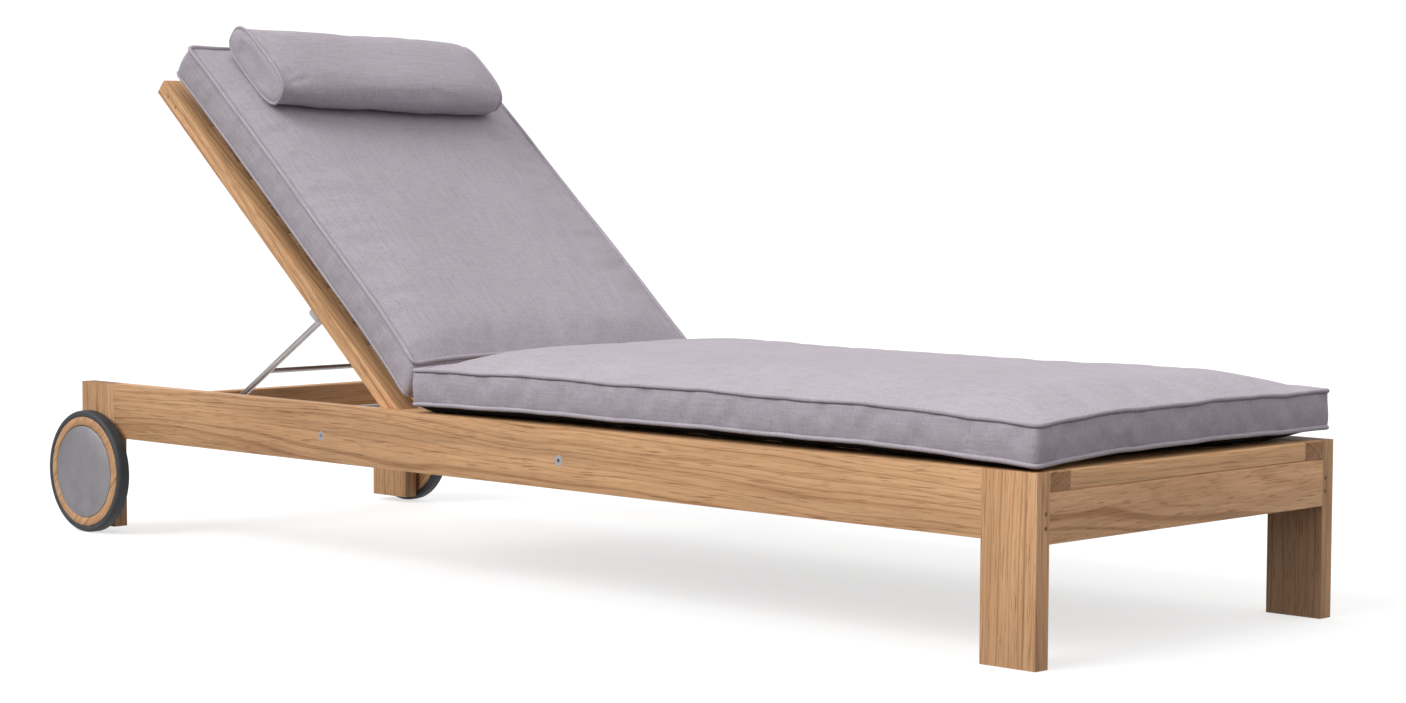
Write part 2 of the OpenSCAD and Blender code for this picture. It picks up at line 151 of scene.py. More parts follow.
def node(mat, kind, links=None, **settings):
    """A shader node, with its settings and input values, and links as {input: output socket}."""
    made = mat.node_tree.nodes.new("ShaderNode" + kind)
    for key, value in settings.items():
        if key in made.inputs:
            made.inputs[key].default_value = value
        else:
            setattr(made, key, value)
    for key, socket in (links or {}).items():
        mat.node_tree.links.new(socket, made.inputs[key])
    return made


def mapped(mat, scale, rotation=(0, 0, 0)):
    """Object coordinates, turned and then scaled along each axis."""
    place = node(mat, "TexCoord").outputs["Object"]
    turned = node(mat, "Mapping", {"Vector": place}, Rotation=rotation)
    return scaled(mat, turned.outputs["Vector"], scale)


def scaled(mat, vector, scale):
    return node(mat, "Mapping", {"Vector": vector}, Scale=scale).outputs["Vector"]


def noise(mat, vector, detail=3.0, roughness=0.55):
    """Fractal noise from 0 to 1. Its size is set by the scale of the vector."""
    made = node(mat, "TexNoise", {"Vector": vector}, Scale=1.0, Detail=detail, Roughness=roughness)
    return made.outputs["Fac"]


def ramp(mat, factor, *stops):
    """Colour ramp from (position, colour) stops. A colour may be one number, for grey."""
    made = node(mat, "ValToRGB", {"Fac": factor})
    band = made.color_ramp
    while len(band.elements) < len(stops):
        band.elements.new(0.5)
    for element, (position, colour) in zip(band.elements, stops):
        element.position = position
        grey = isinstance(colour, (int, float))
        element.color = (colour, colour, colour, 1) if grey else (*colour, 1)
    return made.outputs["Color"]


def mixed(mat, kind, factor, a, b):
    """Mix of two colours. The factor, and either colour, may be a value or a socket."""
    made = mat.node_tree.nodes.new("ShaderNodeMix")
    made.data_type = "RGBA"
    made.blend_type = kind
    for socket, value in ((made.inputs[0], factor), (made.inputs[6], a), (made.inputs[7], b)):
        if isinstance(value, bpy.types.NodeSocket):
            mat.node_tree.links.new(value, socket)
        else:
            socket.default_value = value
    return made.outputs[2]


def math_node(mat, operation, a, b=0.0):
    made = mat.node_tree.nodes.new("ShaderNodeMath")
    made.operation = operation
    for socket, value in zip(made.inputs, (a, b)):
        if isinstance(value, bpy.types.NodeSocket):
            mat.node_tree.links.new(value, socket)
        else:
            socket.default_value = value
    return made.outputs["Value"]


def bump(mat, shader, height, strength, distance):
    made = node(mat, "Bump", {"Height": height}, Strength=strength, Distance=distance)
    mat.node_tree.links.new(made.outputs["Normal"], shader.inputs["Normal"])


def link(mat, socket, shader, name):
    mat.node_tree.links.new(socket, shader.inputs[name])


# ---------- materials ----------

GRAIN_TURNS = {"x": (0, 0, 0), "y": (0, 0, -math.pi / 2), "z": (0, math.pi / 2, 0)}


def teak(name, grain, seed, tone=1.0):
    """Oiled teak. grain is the turn that brings the board's length onto X; seed picks the plank."""
    mat, shader = new_material(name)
    pick = random.Random(seed)
    offset = (pick.uniform(-3, 3), pick.uniform(0.05, 0.14), pick.uniform(0.06, 0.16))
    lean = (0, pick.uniform(-0.03, 0.03), pick.uniform(-0.05, 0.05))
    turned = mapped(mat, (1, 1, 1), grain)
    plank = node(mat, "Mapping", {"Vector": turned}, Location=offset, Rotation=lean).outputs["Vector"]
    rings = growth_rings(mat, plank)
    fibres = noise(mat, scaled(mat, plank, (4.5, 300, 300)), detail=4, roughness=0.65)
    streaks = noise(mat, scaled(mat, plank, (2.6, 85, 85)), detail=3, roughness=0.6)
    blotch = noise(mat, scaled(mat, plank, (2.0, 9, 9)), detail=2)
    pores = noise(mat, scaled(mat, plank, (11, 620, 620)), detail=2, roughness=0.5)
    shade = tone * pick.uniform(0.915, 1.0)
    warm = pick.uniform(0.97, 1.04)
    light = (shade * 0.84, shade * 0.50, shade * 0.262 * warm)
    middle = (shade * 0.70, shade * 0.38, shade * 0.18 * warm)
    dark = (shade * 0.42, shade * 0.20, shade * 0.082)
    figure = ramp(mat, rings, (0.30, dark), (0.43, middle), (0.58, light), (0.8, middle))
    even = ramp(mat, streaks, (0.25, dark), (0.42, middle), (0.66, light))
    colour = mixed(mat, "MIX", 0.38, figure, even)
    colour = mixed(mat, "MULTIPLY", 0.62, colour, ramp(mat, fibres, (0.3, 0.68), (0.6, 1.0)))
    colour = mixed(mat, "MULTIPLY", 0.6, colour, ramp(mat, blotch, (0.3, (0.76, 0.72, 0.7)), (0.65, 1.0)))
    colour = mixed(mat, "MULTIPLY", 0.6, colour, ramp(mat, pores, (0.34, (0.42, 0.33, 0.26)), (0.41, 1.0)))
    colour = mixed(mat, "MULTIPLY", end_grain(mat, grain), colour, (0.60, 0.52, 0.47, 1))
    link(mat, colour, shader, "Base Color")
    link(mat, ramp(mat, streaks, (0.3, 0.66), (0.7, 0.52)), shader, "Roughness")
    shader.inputs["Specular IOR Level"].default_value = 0.35
    relief = math_node(mat, "ADD", fibres, math_node(mat, "MULTIPLY", pores, 0.6))
    bump(mat, shader, relief, 0.25, 0.0007)
    return mat


def growth_rings(mat, plank):
    """Bands at uneven spacing round a wandering pith that lies outside the board."""
    axes = node(mat, "SeparateXYZ", {"Vector": plank})
    square = [math_node(mat, "POWER", math_node(mat, "ABSOLUTE", axes.outputs[a]), 2.0) for a in "YZ"]
    radius = math_node(mat, "SQRT", math_node(mat, "ADD", *square))
    drift = noise(mat, scaled(mat, plank, (1.25, 8, 8)), detail=2)
    radius = math_node(mat, "ADD", radius, math_node(mat, "MULTIPLY", drift, 0.05))
    across = math_node(mat, "MULTIPLY", radius, 200.0)
    made = node(mat, "TexNoise", {"W": across}, noise_dimensions="1D", Scale=1.0, Detail=2.0,
                Roughness=0.6)
    return made.outputs["Fac"]


def end_grain(mat, grain):
    """1 on faces that look along the board, 0 elsewhere."""
    normal = node(mat, "TexCoord").outputs["Normal"]
    turned = node(mat, "Mapping", {"Vector": normal}, Rotation=grain).outputs["Vector"]
    along = math_node(mat, "ABSOLUTE", node(mat, "SeparateXYZ", {"Vector": turned}).outputs["X"])
    return ramp(mat, along, (0.8, 0.0), (0.97, 1.0))


def steel(name, base, roughness, brushed=(300, 300, 4), wear=0.12):
    """Satin stainless steel: fine brushing, faint smudges and a slightly uneven gloss."""
    mat, shader = new_material(name)
    shader.inputs["Metallic"].default_value = 1.0
    brushing = noise(mat, mapped(mat, brushed), detail=3, roughness=0.7)
    smudges = noise(mat, mapped(mat, (28, 28, 28)), detail=4, roughness=0.6)
    low = tuple(c * (1 - wear) for c in base)
    colour = ramp(mat, smudges, (0.35, low), (0.6, base))
    colour = mixed(mat, "MULTIPLY", 0.5, colour, ramp(mat, brushing, (0.3, 0.86), (0.7, 1.0)))
    link(mat, colour, shader, "Base Color")
    gloss = ramp(mat, smudges, (0.3, roughness + 0.08), (0.65, roughness - 0.04))
    link(mat, gloss, shader, "Roughness")
    bump(mat, shader, brushing, 0.06, 0.0003)
    return mat


def rubber(name):
    """Matte black rubber with a little dust on it."""
    mat, shader = new_material(name)
    grit = noise(mat, mapped(mat, (900, 900, 900)), detail=3)
    dust = noise(mat, mapped(mat, (22, 22, 22)), detail=5, roughness=0.65)
    colour = ramp(mat, dust, (0.35, (0.016, 0.019, 0.024)), (0.7, (0.042, 0.047, 0.054)))
    link(mat, colour, shader, "Base Color")
    link(mat, ramp(mat, dust, (0.3, 0.5), (0.7, 0.68)), shader, "Roughness")
    bump(mat, shader, grit, 0.25, 0.0004)
    return mat


def plastic(name, base):
    """Plain moulded plastic, for the bushes."""
    mat, shader = new_material(name)
    grain = noise(mat, mapped(mat, (600, 600, 600)), detail=2)
    low = tuple(c * 0.9 for c in base)
    link(mat, ramp(mat, grain, (0.3, low), (0.7, base)), shader, "Base Color")
    shader.inputs["Roughness"].default_value = 0.5
    bump(mat, shader, grain, 0.1, 0.0003)
    return mat


THREAD = 1.3 * MM


def canvas(name, tilt=0.0, warp="x"):
    """Fine woven outdoor canvas. tilt turns the weave about Y, for the cushions on the backrest, and
    warp is the axis that its stronger threads follow."""
    base = (0.50, 0.452, 0.51)
    mat, shader = new_material(name)
    place = mapped(mat, (1, 1, 1), (0, tilt, 0))
    if warp == "y":
        place = node(mat, "Mapping", {"Vector": place}, Rotation=(0, 0, math.pi / 2)).outputs["Vector"]
    axes = node(mat, "SeparateXYZ", {"Vector": place})
    turns = 2 * math.pi / THREAD
    threads = [math_node(mat, "SINE", math_node(mat, "MULTIPLY", axes.outputs[a], turns)) for a in "XYZ"]
    pairs = [math_node(mat, "MULTIPLY", threads[a], threads[b]) for a, b in ((0, 1), (1, 2), (0, 2))]
    weave = math_node(mat, "ADD", math_node(mat, "ADD", pairs[0], pairs[1]), pairs[2])
    warp_threads = noise(mat, scaled(mat, place, (20, 400, 400)), detail=3, roughness=0.65)
    weft_threads = noise(mat, scaled(mat, place, (400, 34, 60)), detail=3, roughness=0.65)
    heather = noise(mat, scaled(mat, place, (330, 330, 330)), detail=3, roughness=0.75)
    cloud = noise(mat, scaled(mat, place, (7, 7, 7)), detail=4)
    low = tuple(c * 0.80 for c in base)
    high = tuple(min(1, c * 1.12) for c in base)
    warm = (base[0] * 1.02, base[1] * 0.985, base[2] * 0.955)
    colour = ramp(mat, heather, (0.3, low), (0.47, base), (0.56, warm), (0.72, high))
    colour = mixed(mat, "MULTIPLY", 0.55, colour, ramp(mat, warp_threads, (0.32, 0.74), (0.6, 1.0)))
    colour = mixed(mat, "MULTIPLY", 0.45, colour, ramp(mat, weft_threads, (0.32, 0.78), (0.6, 1.0)))
    colour = mixed(mat, "MULTIPLY", 0.5, colour, ramp(mat, cloud, (0.3, 0.88), (0.65, 1.0)))
    link(mat, colour, shader, "Base Color")
    shader.inputs["Roughness"].default_value = 0.9
    shader.inputs["Specular IOR Level"].default_value = 0.2
    shader.inputs["Sheen Weight"].default_value = 0.1
    shader.inputs["Sheen Roughness"].default_value = 0.5
    slubs = math_node(mat, "ADD", warp_threads, weft_threads)
    height = math_node(mat, "ADD", math_node(mat, "MULTIPLY", weave, 0.35), slubs)
    bump(mat, shader, height, 0.4, 0.0005)
    return mat


def base_cloth_and_painted_shade(name):
    """Black open-weave cloth that covers a cushion's underside. Its near-black colour is partly painted
    shade: it stands in for the deep shade in the gap between the cushion and the slats.
    """
    mat, shader = new_material(name)
    place = mapped(mat, (1, 1, 1))
    knots = node(mat, "TexVoronoi", {"Vector": place}, Scale=420.0).outputs["Distance"]
    dust = noise(mat, scaled(mat, place, (16, 16, 16)), detail=4)
    # near-black underside colour: black cloth, and painted shade for the gap under the cushion
    colour = ramp(mat, knots, (0.1, (0.016, 0.016, 0.018)), (0.7, (0.005, 0.005, 0.006)))
    colour = mixed(mat, "ADD", 0.25, colour, ramp(mat, dust, (0.45, 0.0), (0.8, (0.03, 0.028, 0.026))))
    link(mat, colour, shader, "Base Color")
    shader.inputs["Roughness"].default_value = 0.95
    shader.inputs["Specular IOR Level"].default_value = 0.1
    bump(mat, shader, knots, 0.4, 0.0004)
    return mat


# ---------- mesh helpers ----------

def add_object(name, mesh, mat):
    piece = bpy.data.objects.new(name, mesh)
    bpy.context.scene.collection.objects.link(piece)
    mesh.materials.clear()
    mesh.materials.append(mat)
    mesh.shade_smooth()
    return piece


def mesh_of(name, points, faces):
    mesh = bpy.data.meshes.new(name)
    mesh.from_pydata([tuple(p) for p in points], [], faces)
    mesh.validate()
    return mesh


def keep_result(piece):
    """Applies the piece's modifiers to its mesh."""
    bpy.context.view_layer.update()
    graph = bpy.context.evaluated_depsgraph_get()
    final = bpy.data.meshes.new_from_object(piece.evaluated_get(graph))
    piece.modifiers.clear()
    piece.data = final


def eased(name, width, mat):
    """A copy of a CAD node with its sharp edges rounded over, which stands for the node."""
    source = frame["nodes"][name]
    shape = bmesh.new()
    shape.from_mesh(source.data)
    bmesh.ops.remove_doubles(shape, verts=shape.verts, dist=1e-6)
    bmesh.ops.dissolve_limit(shape, angle_limit=math.radians(0.5), verts=shape.verts, edges=shape.edges)
    mesh = bpy.data.meshes.new(name + "_eased")
    shape.to_mesh(mesh)
    shape.free()
    piece = add_object(name + "_eased", mesh, mat)
    rounding = piece.modifiers.new("rounding", "BEVEL")
    rounding.width = width
    rounding.segments = 2
    rounding.limit_method = "ANGLE"
    rounding.angle_limit = math.radians(30)
    rounding.harden_normals = True
    piece.modifiers.new("corners", "TRIANGULATE").keep_custom_normals = True
    keep_result(piece)
    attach(piece, source["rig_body"])
    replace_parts(piece, name)
    return piece


def revolved(name, outline, mat, steps=160):
    """A closed ring or disc about Y from an outline of (radius, y) points, at the origin."""
    points, faces, count = [], [], len(outline)
    for k in range(steps):
        a = 2 * math.pi * k / steps
        points += [(r * math.cos(a), y, r * math.sin(a)) for r, y in outline]
    for k in range(steps):
        for i in range(count):
            a, b = k * count, (k + 1) % steps * count
            j = (i + 1) % count
            faces.append((a + i, a + j, b + j, b + i))
    piece = add_object(name, mesh_of(name, points, faces), mat)
    shape = bmesh.new()
    shape.from_mesh(piece.data)
    bmesh.ops.remove_doubles(shape, verts=shape.verts, dist=1e-7)
    bmesh.ops.recalc_face_normals(shape, faces=shape.faces)
    shape.to_mesh(piece.data)
    shape.free()
    return piece


def tube(name, path, radius, mat, sides=12, closed=True):
    """A round tube along a path of points. radius may be one number or one for each point."""
    path = [Vector(p) for p in path]
    count = len(path)
    radii = radius if isinstance(radius, (list, tuple)) else [radius] * count
    points, faces, side = [], [], None
    for i, p in enumerate(path):
        before = path[i - 1] if closed or i > 0 else p
        after = path[(i + 1) % count] if closed or i < count - 1 else p
        along = (after - before).normalized()
        if side is None:
            side = along.orthogonal().normalized()
        side = (side - along * side.dot(along)).normalized()
        other = along.cross(side)
        for k in range(sides):
            a = 2 * math.pi * k / sides
            points.append(p + (side * math.cos(a) + other * math.sin(a)) * radii[i])
    for i in range(count if closed else count - 1):
        a, b = i * sides, (i + 1) % count * sides
        twist = 0
        if closed and i == count - 1:
            twist = min(range(sides), key=lambda k: (points[a] - points[b + k]).length)
        for k in range(sides):
            j = (k + 1) % sides
            faces.append((a + k, a + j, b + (j + twist) % sides, b + (k + twist) % sides))
    if not closed:
        faces += [tuple(range(sides))[::-1], tuple((count - 1) * sides + k for k in range(sides))]
    return add_object(name, mesh_of(name, points, faces), mat)


# ---------- wood, metal and wheels ----------

def joint(name):
    return next(j for j in frame["joints"] if j["name"] == name)


HINGE = Vector(joint("backrest_recline")["pos_m"])
SLIDE = Vector(joint("pillow_slide")["axis"])
BACK_TILT = math.atan2(SLIDE.z, -SLIDE.x)
STILE_FACE = 12.5 * MM  # from the hinge axis out to the face that the back cushion lies on


def dress_wood():
    """Every teak board gets eased edges and its own plank of wood, with the grain along it. The tone table
    lightens or darkens some planks: the foot crossrail, the seat end slat and the left side rail are
    lightened as painted light on faces that get little light, the right head leg and the left foot leg are
    darkened as painted shade, and the right back stile is a little lighter."""
    along_x = ["side_rail", "seat_stringer", "ratchet_ledger"]
    along_z = ["head_leg", "foot_leg"]
    turned = (0, -BACK_TILT, 0)
    across = GRAIN_TURNS["y"]
    boards = [(f"{n}_{s}", GRAIN_TURNS["x"]) for n in along_x for s in ("left", "right")]
    boards += [(f"{n}_{s}", GRAIN_TURNS["z"]) for n in along_z for s in ("left", "right")]
    boards += [(f"back_stile_{s}", turned) for s in ("left", "right")]
    boards += [(n, across) for n in frame["nodes"]
               if n.endswith("crossrail") or "_slat" in n or n == "back_top_rail"]
    # painted light and shade: foot_crossrail, seat_end_slat and side_rail_left are lightened,
    # head_leg_right and foot_leg_left are darkened, to stand in for the light on those faces
    tones_and_painted_light = {"foot_crossrail": 1.2, "seat_end_slat": 1.2, "head_leg_right": 0.84,
             "foot_leg_left": 0.86, "side_rail_left": 1.1, "back_stile_right": 1.06}
    for seed, (name, grain) in enumerate(sorted(boards)):
        wood = teak("teak_" + name, grain, seed, tones_and_painted_light.get(name, 1.0))
        eased(name, 2 * MM, wood)
    pins = teak("teak_pins", GRAIN_TURNS["x"], 90, tone=0.62)
    for name in ("rail_dowels", "tenon_pins", "stile_pins"):
        paint(name, pins)


def paint(name, mat):
    """A CAD node keeps its shape and takes a material."""
    data = frame["nodes"][name].data
    data.materials.clear()
    data.materials.append(mat)


def dress_metal():
    """Brackets, fixings, bushes and axles, and the prop."""
    satin = steel("steel_satin", (0.46, 0.44, 0.45), 0.36)
    dull = steel("steel_fixings", (0.42, 0.41, 0.42), 0.42, brushed=(500, 500, 500))
    brass = steel("brass_plain", (0.68, 0.50, 0.24), 0.4)
    nylon = plastic("nylon_white", (0.78, 0.77, 0.73))
    for side in ("left", "right"):
        eased("prop_bracket_" + side, 0.6 * MM, satin)
        paint("stub_axle_" + side, dull)
        paint("hub_bush_" + side, nylon)
    for name in ("rail_bolts", "rail_screws", "hinge_pins", "prop_pins", "bracket_screws"):
        paint(name, dull)
    paint("barrel_nuts", brass)
    paint("hinge_bushes", nylon)
    make_prop(satin)


def make_prop(mat):
    """The prop's arms, each with a groove down its lower part, and the two bars across."""
    pivot = Vector(joint("prop_swing")["pos_m"])
    bar_low, bar_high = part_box("prop_foot_bar")
    foot = (bar_low + bar_high) / 2
    cross = sum(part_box("prop_crossbar"), Vector()) / 2
    along = (Vector((foot.x, 0, foot.z)) - Vector((pivot.x, 0, pivot.z))).normalized()
    length = (Vector((foot.x, 0, foot.z)) - Vector((pivot.x, 0, pivot.z))).length
    up = Vector((-along.z, 0, along.x))
    for side, sign in (("left", 1), ("right", -1)):
        low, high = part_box("prop_arm_" + side)
        y = (low.y + high.y) / 2
        top = Vector((pivot.x, y, pivot.z))
        points, faces = arm_rings(top, along, up, sign, length)
        arm = add_object(f"prop_arm_{side}_rod", mesh_of("arm", points, faces), mat)
        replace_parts(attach(arm, "prop"), "prop_arm_" + side)
    cross_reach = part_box("prop_arm_left")[0].y + 1 * MM
    bars = [("prop_crossbar", cross, 4 * MM, cross_reach), ("prop_foot_bar", foot, 5 * MM, bar_high.y)]
    for name, centre, radius, reach in bars:
        ends = [-reach, -reach + 1 * MM, -reach / 3, reach / 3, reach - 1 * MM, reach]
        path = [(centre.x, y, centre.z) for y in ends]
        radii = [radius * k for k in (0.8, 1, 1, 1, 1, 0.8)]
        bar = tube(name + "_rod", path, radii, mat, sides=28, closed=False)
        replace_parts(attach(bar, "prop"), name)


def arm_rings(top, along, up, sign, length):
    """Rings of a 10 mm rod that is grooved on its outer side below the middle."""
    radius, sides = 5 * MM, 36
    groove_from = 0.42 * length
    stations = [(-1.0, 0.0), (-0.92, 0.45), (-0.7, 0.8), (0, 1.0)]
    rings = [(radius * 0.98 * s, radius * k) for s, k in stations]
    rings += [(d, radius) for d in np.linspace(0.03, groove_from - 2 * MM, 6)]
    rings += [(groove_from - 1 * MM, radius), (groove_from, radius * 0.93)]
    rings += [(d, radius) for d in np.linspace(groove_from + 3 * MM, length, 12)]
    rings += [(length + 3 * MM, radius * 0.9), (length + radius * 0.95, 0.0)]
    out = Vector((0, -1, 0)) if sign < 0 else Vector((0, 1, 0))
    points, faces = [], []
    for d, r in rings:
        for k in range(sides):
            a = 2 * math.pi * k / sides
            depth = 0.0
            if d > groove_from and r > 0:
                depth = 1.3 * MM * max(0.0, 1 - (min(a, 2 * math.pi - a) / 0.45) ** 2)
            spoke = out * math.cos(a) + up * math.sin(a)
            points.append(top + along * d + spoke * max(0.0, r - depth))
    for i in range(len(rings) - 1):
        for k in range(sides):
            j = (k + 1) % sides
            faces.append((i * sides + k, i * sides + j, (i + 1) * sides + j, (i + 1) * sides + k))
    return points, faces


def arc(centre, radius, start, end, steps=6):
    """Points of an arc in the (radius, y) plane, angles in degrees."""
    angles = [math.radians(start + (end - start) * k / steps) for k in range(steps + 1)]
    return [(centre[0] + radius * math.cos(a), centre[1] + radius * math.sin(a)) for a in angles]


def make_wheels():
    """Tyre, wooden disc and steel cap of each wheel, turned about its axle."""
    black = rubber("rubber_black")
    for side, sign in (("left", 1), ("right", -1)):
        low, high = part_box("tyre_" + side)
        centre = Vector(((low.x + high.x) / 2, 0, (low.z + high.z) / 2))
        radius = (high.x - low.x) / 2
        width = high.y - low.y
        out = high.y if sign > 0 else -low.y
        rim = radius - 9.4 * MM
        body = "wheel_" + side
        ring = tyre_outline(rim, radius, out, width)
        disc = disc_outline(rim - 0.9 * MM, out, width)
        cap = cap_outline(75 * MM, out - 1.2 * MM)
        wood = teak("teak_wheel_" + side, (0, 0.75, 0), 60 + sign, tone=0.95)
        plate = steel("steel_cap_" + side, (0.288, 0.275, 0.293), 0.58, brushed=(420, 420, 420), wear=0.08)
        parts = [("tyre", ring, black, "tyre_rubber"), ("wheel_disc", disc, wood, "teak"),
                 ("wheel_cap", cap, plate, "brushed_cap")]
        for name, outline, mat, slot in parts:
            turned = [(r, sign * y) for r, y in outline]
            piece = revolved(f"{name}_{side}_turned", turned, mat)
            piece.data.transform(Matrix.Translation(centre))
            piece.data.update()
            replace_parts(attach(piece, body), f"{name}_{side}")


def tyre_outline(rim, radius, out, width):
    """Section of the tyre: a rounded tread with a shallow lip beside the rim on each side."""
    e = 4.5 * MM
    inner = out - width
    return ([(rim - 1 * MM, inner + 1 * MM), (rim, inner), (rim + 3 * MM, inner + 0.3 * MM)]
            + arc((radius - e, inner + e), e, -90, 0)
            + [(radius, inner + width * 0.4), (radius, inner + width * 0.6)]
            + arc((radius - e - 1 * MM, out - e - 1.5 * MM), e + 1 * MM, 0, 80)
            + [(rim + 0.4 * MM, out - 1.7 * MM), (rim - 1 * MM, out - 2.5 * MM)])


def disc_outline(rim, out, width):
    """Section of the wooden disc: a ring that falls away from the recess for the cap."""
    e = 1.5 * MM
    inner = out - width
    seat = out - 1.9 * MM
    edge = out - 1.3 * MM
    lip = 75.8 * MM
    return ([(8 * MM, inner)] + arc((rim - e, inner + e), e, -90, 0, 3)
            + arc((rim - e, edge - e), e, 0, 80, 3)
            + [(lip + 0.7 * MM, out), (lip, out - 0.7 * MM), (lip, seat), (16 * MM, seat),
               (16 * MM, seat - 7 * MM), (8 * MM, seat - 7 * MM)])


def cap_outline(radius, seat):
    """Section of the pressed steel cap, with a softly rolled edge."""
    t = 1.4 * MM
    return [(0, seat), (radius - 0.4 * MM, seat), (radius, seat + 0.3 * MM), (radius, seat + 0.8 * MM),
            (radius - 0.7 * MM, seat + t), (radius * 0.5, seat + t + 0.15 * MM), (0, seat + t + 0.2 * MM)]


# ---------- cushions ----------

class Ripple:
    """A smooth, repeatable wobble along a length: a few sine waves with random phases."""

    def __init__(self, seed, waves):
        pick = random.Random(seed)
        self.waves = [(2 * math.pi / w, a, pick.uniform(0, 6.28)) for w, a in waves]

    def __call__(self, s):
        return sum(a * np.sin(k * s + phase) for k, a, phase in self.waves)


def rounded_plan(x, y, half_x, half_y, corner):
    """Moves the corners of a rectangular grid onto rounded corners."""
    ex, ey = half_x - corner, half_y - corner
    dx = np.clip((np.abs(x) - ex) / corner, 0, 1)
    dy = np.clip((np.abs(y) - ey) / corner, 0, 1)
    cut_x = dx * np.sqrt(1 - dy * dy / 2)
    cut_y = dy * np.sqrt(1 - dx * dx / 2)
    new_x = np.where((dx > 0) & (dy > 0), np.sign(x) * (ex + corner * cut_x), x)
    new_y = np.where((dx > 0) & (dy > 0), np.sign(y) * (ey + corner * cut_y), y)
    return new_x, new_y


def box_cushion(half, levels, crown, seed, cell=9 * MM, corner=5 * MM, pull=(9 * MM, 4 * MM, 4 * MM),
                drops=(0, 0, 0, 0), floor=None, rough=1.0, tuck=(26, 8, 46, 18)):
    """Box cushion about its own middle: (half length, half width), heights of the lower and the
    upper piping, and the crowns below and above them. drops lower the corners: -X-Y, +X-Y, +X+Y
    and -X+Y. pull draws in the middle of the -X end, the +X end and the sides, rough scales the
    puckers, and tuck says how sharply the underside drops from its -Y, +Y, -X and +X seams.
    Gives the points, the faces, how many are underside, and the two piping loops."""
    half_x, half_y = half
    low, high = levels
    nx, ny = round(2 * half_x / cell), round(2 * half_y / cell)
    gx, gy = np.meshgrid(np.linspace(-half_x, half_x, nx + 1), np.linspace(-half_y, half_y, ny + 1),
                         indexing="ij")
    u, v = gx / half_x, gy / half_y
    px, py = rounded_plan(gx, gy, half_x, half_y, corner)
    px = px - np.sign(u) * np.where(u < 0, pull[0], pull[1]) * np.abs(u) ** 3 * (1 - v ** 8)
    py = py - np.sign(v) * pull[2] * np.abs(v) ** 3 * (1 - u ** 6)
    wave_x = Ripple(seed, [(0.31, 1.2), (0.13, 0.6), (0.071, 0.3)])
    wave_y = Ripple(seed + 1, [(0.27, 1.2), (0.11, 0.6), (0.063, 0.3)])
    edge_u = np.exp(-(half_x - np.abs(gx)) / 0.030)
    edge_v = np.exp(-(half_y - np.abs(gy)) / 0.030)
    swell = (1 - np.abs(v) ** 4) ** 0.9 * (1 - np.abs(u) ** 7) ** 0.95
    sag = 1 - np.abs(v) ** np.where(v < 0, tuck[0], tuck[1])
    sag *= 1 - np.abs(u) ** np.where(u < 0, tuck[2], tuck[3])
    near = np.where(u < 0, drops[0], drops[1])
    far = np.where(u < 0, drops[3], drops[2])
    drop = np.where(v < 0, near, far) * u ** 4 * v ** 2
    pucker = (edge_v * wave_x(gx + gy * 0.2) + edge_u * wave_y(gy + gx * 0.2)) * 0.8 * rough * MM
    broad = Ripple(seed + 2, [(0.62, 1.0), (0.37, 0.6)])(gx) * Ripple(seed + 3, [(0.5, 1.0)])(gy) * MM
    top = high - drop + crown[1] * swell + pucker + broad * swell
    bottom = low - drop - crown[0] * np.minimum(1, 1.2 * sag) + pucker * 0.6
    if floor is not None:
        bottom = np.maximum(bottom, floor)
    points = np.concatenate([np.stack([px, py, top], -1).reshape(-1, 3),
                             np.stack([px, py, bottom], -1).reshape(-1, 3)])
    count = (nx + 1) * (ny + 1)
    rim = ([(i, 0) for i in range(nx)] + [(nx, j) for j in range(ny)]
           + [(i, ny) for i in range(nx, 0, -1)] + [(0, j) for j in range(ny, 0, -1)])
    upper = [i * (ny + 1) + j for i, j in rim]
    lower = [count + k for k in upper]
    under, over = [], []
    for i in range(nx):
        for j in range(ny):
            a = i * (ny + 1) + j
            b, c, d = a + ny + 1, a + ny + 2, a + 1
            over.append((a, b, c, d))
            under.append((count + d, count + c, count + b, count + a))
    extra, sides = border(points, upper, lower, seed, rough)
    return np.concatenate([points, extra]), under + over + sides, len(under), upper, lower


def border(points, upper, lower, seed, rough, rows=7):
    """The fabric band between the two piping loops: its own points and faces. It bulges a little
    and puckers where it is sewn to the piping."""
    top, bottom = points[upper], points[lower]
    along = np.roll(top, -1, 0) - np.roll(top, 1, 0)
    out = np.stack([along[:, 1], -along[:, 0], np.zeros(len(top))], -1)
    out /= np.linalg.norm(out, axis=1)[:, None]
    run = np.concatenate([[0], np.cumsum(np.linalg.norm(np.diff(top, axis=0), axis=1))])
    fold = Ripple(seed + 4, [(0.083, 0.8), (0.041, 0.8), (0.027, 0.5), (0.19, 0.6)])(run)
    lean = Ripple(seed + 5, [(0.11, 0.8), (0.047, 0.6)])(run)
    made, count = [], len(upper)
    for k in range(1, rows):
        t = k / rows
        swell = math.sin(math.pi * t)
        bulge = 3.0 * swell ** 0.7 - 1.0
        wobble = (fold * swell + lean * math.sin(2 * math.pi * t) * 0.7) * rough
        made.append(top * (1 - t) + bottom * t + out * ((bulge + wobble) * MM)[:, None])
    first = len(points)
    rings = [upper] + [[first + k * count + n for n in range(count)] for k in range(rows - 1)] + [lower]
    faces = []
    for a, b in zip(rings[:-1], rings[1:]):
        for n in range(count):
            m = (n + 1) % count
            faces.append((a[n], b[n], b[m], a[m]))
    return np.concatenate(made), faces


